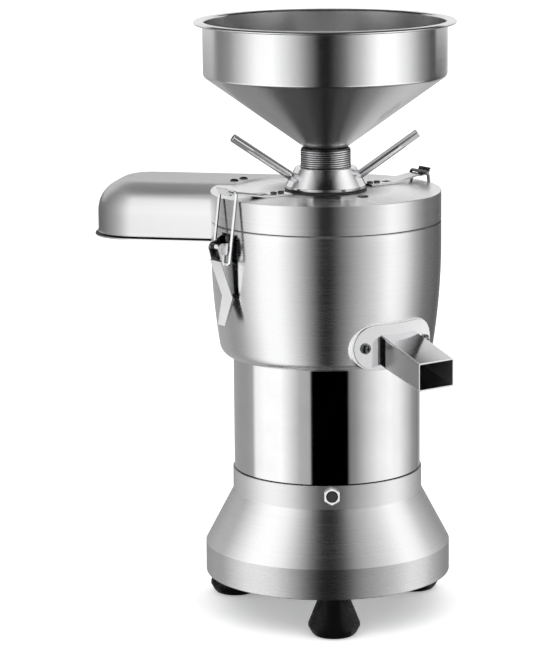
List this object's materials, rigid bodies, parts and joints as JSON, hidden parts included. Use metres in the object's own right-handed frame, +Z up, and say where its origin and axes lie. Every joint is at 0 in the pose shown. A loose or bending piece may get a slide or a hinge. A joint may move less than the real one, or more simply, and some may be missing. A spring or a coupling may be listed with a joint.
{
  "type": "soy milk maker",
  "caption": "Upright electric soybean grinder on rubber feet: feed hopper on a threaded tube with an adjusting ring, latched lid, pulp hood and milk spout.",
  "frame": {"origin": "centre of the bounding box's bottom face, on the floor under the feet", "axes": "+Z up, the pulp hood points to -X, the cord gland and the switch face +Y"},
  "size_m": [0.3652, 0.2498, 0.557],
  "materials": {
    "cast_body": "cast aluminium alloy, turned and brushed",
    "mirror_sleeve": "stainless sleeve, mirror polished",
    "sheet_steel": "drawn stainless sheet, satin",
    "bright_steel": "polished steel",
    "thread_steel": "machined steel",
    "rivet_steel": "dull steel",
    "bracket_alloy": "plain cast alloy",
    "lamination": "stacked electrical sheet",
    "winding": "varnished copper wire",
    "black_rubber": "black rubber, semi-gloss",
    "gasket_rubber": "dark rubber",
    "white_gasket": "white silicone",
    "black_plastic": "black moulded plastic",
    "red_plastic": "red moulded plastic",
    "pale_plastic": "pale moulded plastic",
    "abrasive_stone": "vitrified abrasive stone"
  },
  "bodies": {
    "housing": {"base": "cast_body", "bottom_plate": "sheet_steel", "rubber_feet": "black_rubber", "foot_screws": "bright_steel", "motor_barrel": "mirror_sleeve", "lower_end_bracket": "bracket_alloy", "upper_end_bracket": "bracket_alloy", "stator_core": "lamination", "stator_windings": "winding", "lower_bearing": "thread_steel", "upper_bearing": "thread_steel", "tie_bolts": "thread_steel", "chamber": "cast_body", "shaft_seal": "gasket_rubber", "lid_gasket": "gasket_rubber", "lid": "cast_body", "lid_plug": "black_rubber", "thrust_washer": "black_plastic", "guide_plate": "thread_steel", "guide_screws": "thread_steel", "pulp_hood": "sheet_steel", "hood_screws": "rivet_steel", "lid_straps": "bright_steel", "strap_rivets": "rivet_steel", "milk_spout": "sheet_steel", "spout_gasket": "white_gasket", "spout_screws": "bright_steel", "latch_brackets": "bright_steel", "bracket_rivets": "rivet_steel", "latch_pins": "bright_steel", "overload_breaker": "black_plastic", "breaker_nut": "bright_steel", "switch_housing": "black_plastic", "cord_gland": "black_plastic", "gland_nut": "black_plastic", "capacitor": "bracket_alloy", "capacitor_clamp": "thread_steel", "terminal_block": "pale_plastic", "inner_screws": "thread_steel"},
    "adjusting_ring": {"adjusting_ring": "bright_steel", "ring_handles": "bright_steel", "ring_circlip": "thread_steel"},
    "feed_tube": {"feed_tube": "thread_steel", "upper_stone": "abrasive_stone", "stone_screws": "thread_steel"},
    "hopper": {"hopper": "sheet_steel", "hopper_seal": "black_rubber"},
    "rotor": {"motor_shaft": "thread_steel", "rotor_core": "lamination", "cooling_fan": "black_plastic", "stone_carrier": "thread_steel", "lower_stone": "abrasive_stone", "filter_basket": "sheet_steel", "carrier_nut": "thread_steel"},
    "left_lever": {"left_lever": "bright_steel"},
    "left_bail": {"left_bail": "bright_steel"},
    "right_lever": {"right_lever": "bright_steel"},
    "right_bail": {"right_bail": "bright_steel"},
    "reset_button": {"reset_button": "black_plastic"},
    "power_rocker": {"power_rocker": "red_plastic"}
  },
  "joints": [
    {"name": "ring_turn", "type": "hinge", "parent": "housing", "child": "adjusting_ring", "pos_m": [0.04793, -0.00377, 0.41], "axis": [0, 0, -1], "range_deg": [0, 270]},
    {"name": "feed_lift", "type": "slide", "parent": "housing", "child": "feed_tube", "axis": [0, 0, 1], "range_m": [0, 0.0015]},
    {"name": "hopper_lift", "type": "slide", "parent": "feed_tube", "child": "hopper", "axis": [0, 0, 1], "range_m": [0, 0.08]},
    {"name": "rotor_spin", "type": "hinge", "parent": "housing", "child": "rotor", "pos_m": [0.04793, -0.00377, 0.2], "axis": [0, 0, 1], "continuous": true},
    {"name": "left_lever_pivot", "type": "hinge", "parent": "housing", "child": "left_lever", "pos_m": [-0.03335, -0.08794, 0.356], "axis": [-0.7193, 0.6947, 0], "range_deg": [0, 90]},
    {"name": "left_bail_pivot", "type": "hinge", "parent": "left_lever", "child": "left_bail", "pos_m": [-0.03335, -0.08794, 0.342], "axis": [-0.7193, 0.6947, 0], "range_deg": [-71.1, 0]},
    {"name": "right_lever_pivot", "type": "hinge", "parent": "housing", "child": "right_lever", "pos_m": [0.1292, 0.08039, 0.356], "axis": [0.7193, -0.6947, 0], "range_deg": [0, 90]},
    {"name": "right_bail_pivot", "type": "hinge", "parent": "right_lever", "child": "right_bail", "pos_m": [0.1292, 0.08039, 0.342], "axis": [0.7193, -0.6947, 0], "range_deg": [-71.1, 0]},
    {"name": "reset_press", "type": "slide", "parent": "housing", "child": "reset_button", "axis": [0.2385, -0.9711, 0], "range_m": [0, 0.003]},
    {"name": "rocker_tilt", "type": "hinge", "parent": "housing", "child": "power_rocker", "pos_m": [0.07756, 0.10683, 0.0505], "axis": [0, 0, 1], "range_deg": [0, 18]}
  ],
  "couplings": [
    {"joint": "feed_lift", "follows": "ring_turn", "m_per_rad": 0.0003183},
    {"joint": "left_bail_pivot", "follows": "left_lever_pivot", "ratio": -0.7899},
    {"joint": "right_bail_pivot", "follows": "right_lever_pivot", "ratio": -0.7899}
  ]
}
